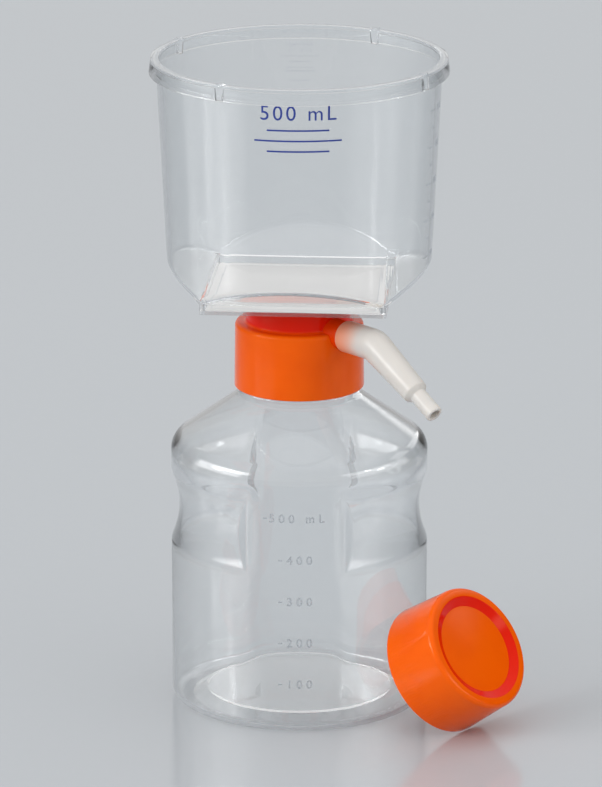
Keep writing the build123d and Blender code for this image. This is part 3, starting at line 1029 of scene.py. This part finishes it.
class FILTERUNIT_OT_funnel(Operator):
    """Builds the funnel: square base, four sloping planes, round wall, rim with skirt and lugs"""

    bl_idname = "filterunit.funnel"
    bl_label = "Funnel"

    def bowl(self, s, around, inset):
        """Square edge, knee radius, knee height and foot height of the bowl, in each direction."""
        slope = tan(s.floor_slope)
        spread = tan(s.draft)
        half = s.seat_width / 2 - inset
        foot = PLATE_HIGH.z + s.seat_height
        foot += inset * (1 - sin(s.floor_slope)) / cos(s.floor_slope)
        radius = round_wall(s, foot) - inset
        facing = np.maximum(np.abs(np.cos(around)), np.abs(np.sin(around)))
        rise = (radius * facing - half) * slope / (1 - spread * facing * slope)
        square = square_reach(around, half, s.seat_corner if inset == 0 else 2 * s.seat_corner)
        return square, radius + rise * spread, foot + rise, foot

    def execute(self, context):
        s = context.scene.filter_unit.funnel
        lug_half = s.lug_width / 2 / s.skirt_top
        slope = s.lug_slope / s.skirt_top
        lugs = [s.lug_angle + s.turn + k * 2 * pi / s.lugs for k in range(s.lugs)]
        sides = [at + side * lug_half for at in lugs for side in (-1, 1)]
        on_slopes = np.concatenate([at + np.linspace(-0.5, 0.5, 5) * slope for at in sides])
        angles = directions(300, square_corners(s), spread=radians(3.0), extra=21)
        angles = np.unique(np.concatenate([angles, np.mod(on_slopes, 2 * pi)]))
        off_lug = np.min([np.abs(np.mod(angles - at + pi, 2 * pi) - pi) for at in lugs], axis=0)
        lug = np.clip((lug_half - off_lug) / slope + 0.5, 0, 1)
        around = angles - s.turn
        square, knee_radius, knee, foot = self.bowl(s, around, 0)
        inner_square, inner_knee_radius, inner_knee, inner_foot = self.bowl(s, around, s.wall)
        seat = PLATE_HIGH.z + SKIN
        under = s.rim_height - s.rim_thickness
        skirt_low = s.rim_height - s.skirt_height
        channel = under + (skirt_low + 0.1 * MM - under) * lug
        sunk = (s.rim_height - channel) / s.skirt_height * (s.skirt_foot - s.skirt_top)
        inside_rim = round_wall(s, s.rim_height) - s.wall
        top = s.rim_height + s.lug_height * lug
        end = 0.5 * MM  # from a lug's end to the rim's edge
        corners = [
            (square, seat, 0),
            (square, foot, 0.5 * MM),
            (knee_radius, knee, s.knee),
            (round_wall(s, channel), channel, 0),
            (s.skirt_top - s.skirt_wall + sunk, channel, 0),
            (s.skirt_foot - s.skirt_wall, skirt_low, 0.25 * MM),
            (s.skirt_foot, skirt_low, 0.35 * MM),
            (s.skirt_top, s.rim_height, 0.35 * MM),
            (s.skirt_top - end, top, 0),
            (inside_rim + end, top, 0),
            (inside_rim, s.rim_height, 0.3 * MM),
            (inner_knee_radius, inner_knee, s.knee - s.wall),
            (inner_square, inner_foot, 0.3 * MM),
            (inner_square, seat, 0),
        ]
        piece = turned("funnel_bowl", angles, rounded(corners, 6), closed=True)
        clear = clear_plastic("clear_funnel", context.scene.filter_unit.finish.clear)
        finish_piece(piece, clear, "filter", "clear_plastic", "funnel")
        return {"FINISHED"}


class FILTERUNIT_OT_funnel_marks(Operator):
    """Adds the funnel's printed mark and its graduations"""

    bl_idname = "filterunit.funnel_marks"
    bl_label = "Funnel marks"

    FRONT = radians(-88.7)  # direction of the print's middle
    INK = 0.02 * MM  # thickness of the print
    WORDS, WORDS_HEIGHT, SPACING = 7.6 * MM, 229.4 * MM, 1.22  # size, height and spacing
    RULE = 0.6 * MM  # width of a printed rule, then each rule's height and length
    RULES = ((223.4 * MM, 22.0 * MM), (219.6 * MM, 31.0 * MM), (215.8 * MM, 22.0 * MM))
    SCALE = radians(-15.5)  # direction in which the graduations' lines end
    HIGHEST = 5  # the top graduation's number of 100 mL
    LONG, SHORT = 5.0 * MM, 2.8 * MM  # lines with a number and between two numbers
    LINE = (0.4 * MM, 0.2 * MM)  # their width and thickness
    NUMBER = (3.0 * MM, 0.2 * MM)  # size and thickness
    NUMBER_AT = 4.6 * MM  # from the line's end to the number's middle

    def execute(self, context):
        s = context.scene.filter_unit.funnel

        def surface(height):
            return round_wall(s, height) + ON_WALL

        place = (surface, self.FRONT, self.WORDS_HEIGHT)
        words = marking("print", "500 mL", self.WORDS, self.INK, *place, spacing=self.SPACING)
        pieces = [words]
        for height, wide in self.RULES:
            pieces.append(rule("print", wide, self.RULE, self.INK, surface, self.FRONT, height))
        blue = printed("funnel_print", context.scene.filter_unit.finish.print_blue)
        finish_piece(joined("funnel_volume_print", pieces), blue, "filter", "clear_plastic")
        ticks = []
        for step in range(2 * self.HIGHEST - 1):
            height = s.full_mark - step * s.mark_spacing / 2
            numbered = step % 2 == 0
            wide = self.LONG if numbered else self.SHORT
            middle = self.SCALE - wide / 2 / surface(height)
            ticks.append(rule("tick", wide, *self.LINE, surface, middle, height))
            if numbered:
                words = f"{self.HIGHEST - step // 2}00"
                middle = self.SCALE + self.NUMBER_AT / surface(height)
                place = (surface, middle, height)
                ticks.append(marking("tick", words, *self.NUMBER, *place, bevel=0.05 * MM))
        piece = joined("funnel_graduations", ticks)
        finish_piece(piece, moulded_mark("raised_funnel_mark", 0.2), "filter", "clear_plastic")
        return {"FINISHED"}


class FILTERUNIT_OT_connector(Operator):
    """Builds the milky hose connector: socket, bend, tapering arm and tip"""

    bl_idname = "filterunit.connector"
    bl_label = "Hose connector"

    def bend(self, mesh, s, centre, along):
        """Lays the straight connector on its line: level, round the bend, and down the arm."""
        down = Vector((0, 0, -1))
        side = along.cross(down)
        trim = s.bend_radius * tan(s.bend / 2)
        first = s.reach - trim
        arc = s.bend_radius * s.bend
        saved = 2 * trim - arc
        for vertex in mesh.vertices:
            x, y, run = vertex.co
            if run > s.reach:
                run -= saved * min(1.0, (run - s.reach) / (2 * trim))
            turn = min(max(run - first, 0.0) / s.bend_radius, s.bend)
            line = along * (min(run, first) + s.bend_radius * sin(turn))
            line += down * s.bend_radius * (1 - cos(turn))
            line += (along * cos(turn) + down * sin(turn)) * max(run - first - arc, 0.0)
            lower = down * cos(turn) - along * sin(turn)
            vertex.co = centre + line + side * x + lower * y

    def execute(self, context):
        settings = context.scene.filter_unit
        s = settings.connector
        port = settings.closure
        socket = port.spigot_radius + s.fit
        begin = port.boss_end + s.socket_gap
        depth = port.spigot_end + s.socket_gap
        step = s.reach + s.arm
        end = step + s.tip
        corners = [
            (socket, begin, 0.3 * MM),
            (s.radius, begin, 1.1 * MM),
            (s.radius, s.reach, 0),
            (s.step_radius, step, 0.7 * MM),
            (s.tip_radius, step + s.step_radius - s.tip_radius, 0.5 * MM),
            (s.tip_radius, end, 0.6 * MM),
            (s.bore, end, 0.25 * MM),
            (s.bore, depth, 0),
            (socket, depth, 0),
        ]
        outline = divided(rounded(corners, 5), 0.7 * MM, begin, end)
        piece = turned("hose_connector_skin", directions(88), outline, closed=True)
        centre, along = port_line(port)
        self.bend(piece.data, s, centre, along)
        material = milky_plastic(settings, centre, along)
        finish_piece(piece, material, "connector", "natural_plastic", "hose_connector")
        return {"FINISHED"}


class FILTERUNIT_OT_cap(Operator):
    """Builds the spare cap that leans against the bottle"""

    bl_idname = "filterunit.cap"
    bl_label = "Spare cap"

    DRAWN_IN = 0.06 * MM  # how much smaller the outside is than its sizes say
    CROWN = (0.9, 0.75, 0.6, 0.45, 0.3, 0.15, 0)  # where the disc has rings, as shares of it
    RIBS = (150, 1.5 * MM, 9 * MM)  # how many, and the heights between which they stand

    def execute(self, context):
        settings = context.scene.filter_unit
        s = settings.cap
        away = settings.bottle.radius + s.lean_gap + s.foot_radius * sin(s.tilt)
        start = (away * cos(s.bearing), away * sin(s.bearing), s.foot_radius * cos(s.tilt))
        level = cos(s.tilt)
        along = Vector((level * cos(s.facing), level * sin(s.facing), sin(s.tilt)))
        place = axis_place(Vector(start), along)
        disc = s.height - s.recess
        roof = disc - s.roof
        taper = (s.foot_radius - s.top_radius) / s.height
        inner = s.foot_radius - s.wall
        plug_bore = s.plug_radius - s.plug_wall
        top = s.height - self.DRAWN_IN
        corners = [
            (0, roof, 0),
            (plug_bore, roof, 0.4 * MM),
            (plug_bore, roof - s.plug_depth, 0.3 * MM),
            (s.plug_radius, roof - s.plug_depth, 0.4 * MM),
            (s.plug_radius, roof, 0.4 * MM),
            (inner - taper * roof, roof, 0.6 * MM),
            (inner, 0, 0.3 * MM),
            (s.foot_radius - self.DRAWN_IN, 0, 0.45 * MM),
            (s.top_radius - self.DRAWN_IN, top, s.edge),
            (s.rim_radius, top, 0.45 * MM),
            (s.disc_radius, disc, 0.3 * MM),
        ]
        for share in self.CROWN:
            corners.append((s.disc_radius * share, disc + s.crown * (1 - share**2), 0))
        piece = turned("spare_cap", directions(256), rounded(corners, 7), place=place)
        # Painted shade in the recess: the sloping wall round the disc is coloured darker and
        # redder.
        ring = (s.disc_radius, s.rim_radius, disc - 1 * MM, disc - 0.5 * MM)
        orange = orange_plastic("orange_cap", settings.finish.orange, place, ring, self.RIBS)
        finish_piece(piece, orange, "bottle", "orange_plastic", "storage_cap")
        thread = ridge("cap_thread", inner - 0.3 * MM, 1.1 * MM, 4.0 * MM, place)
        finish_piece(thread, orange, "bottle", "orange_plastic")
        return {"FINISHED"}


class FILTERUNIT_OT_stage(Operator):
    """Sets up the floor, the camera and the lit surroundings"""

    bl_idname = "filterunit.stage"
    bl_label = "Stage"

    # Upright soft boxes: bearing from the camera's side towards its right, half width, lower and
    # upper edge, and softness of the edges, all at a distance of one, then strength. The last two
    # are the bright middles of the first two.
    SOFTBOXES = (
        (radians(-66), 0.36, 0.20, 0.66, 0.14, 5.7),
        (radians(66), 0.50, 0.20, 0.62, 0.14, 2.4),
        (radians(120), 0.225, 0.425, 0.85, 0.10, 1.5),
        (radians(-66), 0.05, 0.38, 0.50, 0.03, 26.0),
        (radians(66), 0.05, 0.36, 0.48, 0.03, 14.0),
    )
    # Glows of the surroundings: direction, strength and how tight they are. Those below zero are
    # dark cards at the back, which draw the clear plastic's outlines.
    GLOWS = (
        ((0.10, 0.10, 0.98), 0.74, 4.0),
        ((-0.75, -0.50, 0.43), 0.7, 3.0),
        ((-0.10, 0.90, 0.42), 0.35, 6.0),
        ((0.45, -0.88, 0.10), 0.35, 3.0),
        ((0.90, 0.42, 0.12), -0.55, 7.0),
        ((-0.90, 0.42, 0.12), -0.50, 7.0),
    )
    AMBIENT = 0.30
    NEAREST = 0.02  # least depth at which a soft box is drawn
    FLOOR_REACH = 4  # half of the floor's width, in metres

    def light_studio(self, studio, around, backdrop):
        """Lights the surroundings: soft boxes and glows over an even ambient light."""
        toward = studio.made("ShaderNodeTexCoord", output="Generated")

        def along(direction):
            return studio.along(toward, Vector(direction).normalized())

        def background(tint, strength):
            inputs = {"Color": tinted(tint), "Strength": strength}
            return studio.made("ShaderNodeBackground", inputs)

        up = along((0, 0, 1))
        light = self.AMBIENT
        for bearing, half, low, high, soft, strength in self.SOFTBOXES:
            at = bearing + around
            ahead = along((sin(at), -cos(at), 0))
            depth = ahead.most(self.NEAREST)
            x = abs(along((cos(at), sin(at), 0)) / depth)
            y = up / depth
            across = 1.0 - x.between(half - soft / 2, half + soft / 2)
            upward = y.between(low, low + soft) - y.between(high - soft, high)
            light = light + strength * across * upward * ahead.above(self.NEAREST)
        for direction, strength, tightness in self.GLOWS:
            light = light + strength * (tightness * (along(direction) - 1.0)).exponential()
        lit = background((1.0, 1.0, 1.0), light.most(0.0))
        seen = studio.made("ShaderNodeLightPath", output="Is Camera Ray")
        both = studio.mixed(seen, lit, background(backdrop, 1.0))
        studio.node("ShaderNodeOutputWorld", None, {"Surface": both})

    def execute(self, context):
        scene = context.scene
        s = scene.filter_unit.stage
        square = ((-1, -1), (1, -1), (1, 1), (-1, 1))
        corners = [(self.FLOOR_REACH * x, self.FLOOR_REACH * y, 0) for x, y in square]
        floor = mesh_object("floor", corners, [(0, 1, 2, 3)])
        sheet = (s.floor, scaled(s.floor, 0.985))
        material = grained("floor_sheet", (220.0, 3.0), sheet, (0.16, 0.0), (0.05 * MM, 0.1))
        coat(floor, material)
        scene.view_settings.view_transform = "Standard"
        camera = bpy.data.cameras.new("camera")
        camera.lens = s.lens
        camera.sensor_width = 36.0
        camera.sensor_fit = "AUTO"
        camera.clip_start = 0.05
        camera.clip_end = 20.0
        holder = added("camera", camera)
        middle = Vector((0, 0, s.look_height))
        right = Vector((cos(s.around), sin(s.around), 0))
        ahead = Vector((-sin(s.around), cos(s.around), 0))
        back = Vector((0, 0, sin(s.pitch))) - ahead * cos(s.pitch)
        holder.location = middle + back * s.distance
        aim = middle + right * s.look_right
        holder.rotation_euler = (aim - holder.location).to_track_quat("-Z", "Y").to_euler()
        scene.camera = holder
        scene.world = bpy.data.worlds.new("studio")
        self.light_studio(Finish("studio", scene.world), s.around, s.backdrop)
        scene.cycles.transparent_max_bounces = 32
        scene.cycles.max_bounces = 64
        scene.cycles.transmission_bounces = 64
        return {"FINISHED"}


class FILTERUNIT_PT_panel(Panel):
    """Lists the unit's pieces and its settings"""

    bl_idname = "FILTERUNIT_PT_panel"
    bl_label = "Vacuum filtration unit"
    bl_space_type = "VIEW_3D"
    bl_region_type = "UI"
    bl_category = "Filter unit"

    def draw(self, context):
        settings = context.scene.filter_unit
        for operator in PIECES:
            self.layout.operator(operator.bl_idname)
        for name in FilterUnitSettings.__annotations__:
            group = getattr(settings, name)
            box = self.layout.box()
            for size in group.__annotations__:
                box.prop(group, size)


PIECES = (
    FILTERUNIT_OT_bottle,
    FILTERUNIT_OT_bottle_marks,
    FILTERUNIT_OT_closure,
    FILTERUNIT_OT_filter,
    FILTERUNIT_OT_funnel,
    FILTERUNIT_OT_funnel_marks,
    FILTERUNIT_OT_connector,
    FILTERUNIT_OT_cap,
    FILTERUNIT_OT_stage,
)

CLASSES = (
    BottleSettings,
    FunnelSettings,
    ClosureSettings,
    ConnectorSettings,
    CapSettings,
    FinishSettings,
    StageSettings,
    FilterUnitSettings,
    *PIECES,
    FILTERUNIT_PT_panel,
)


def register():
    for kind in CLASSES:
        bpy.utils.register_class(kind)
    bpy.types.Scene.filter_unit = PointerProperty(type=FilterUnitSettings)


def unregister():
    del bpy.types.Scene.filter_unit
    for kind in reversed(CLASSES):
        bpy.utils.unregister_class(kind)


def main():
    register()
    bpy.ops.filterunit.bottle()
    bpy.ops.filterunit.bottle_marks()
    bpy.ops.filterunit.closure()
    bpy.ops.filterunit.filter()
    bpy.ops.filterunit.funnel()
    bpy.ops.filterunit.funnel_marks()
    bpy.ops.filterunit.connector()
    bpy.ops.filterunit.cap()
    bpy.ops.filterunit.stage()


if __name__ == "__main__":
    main()
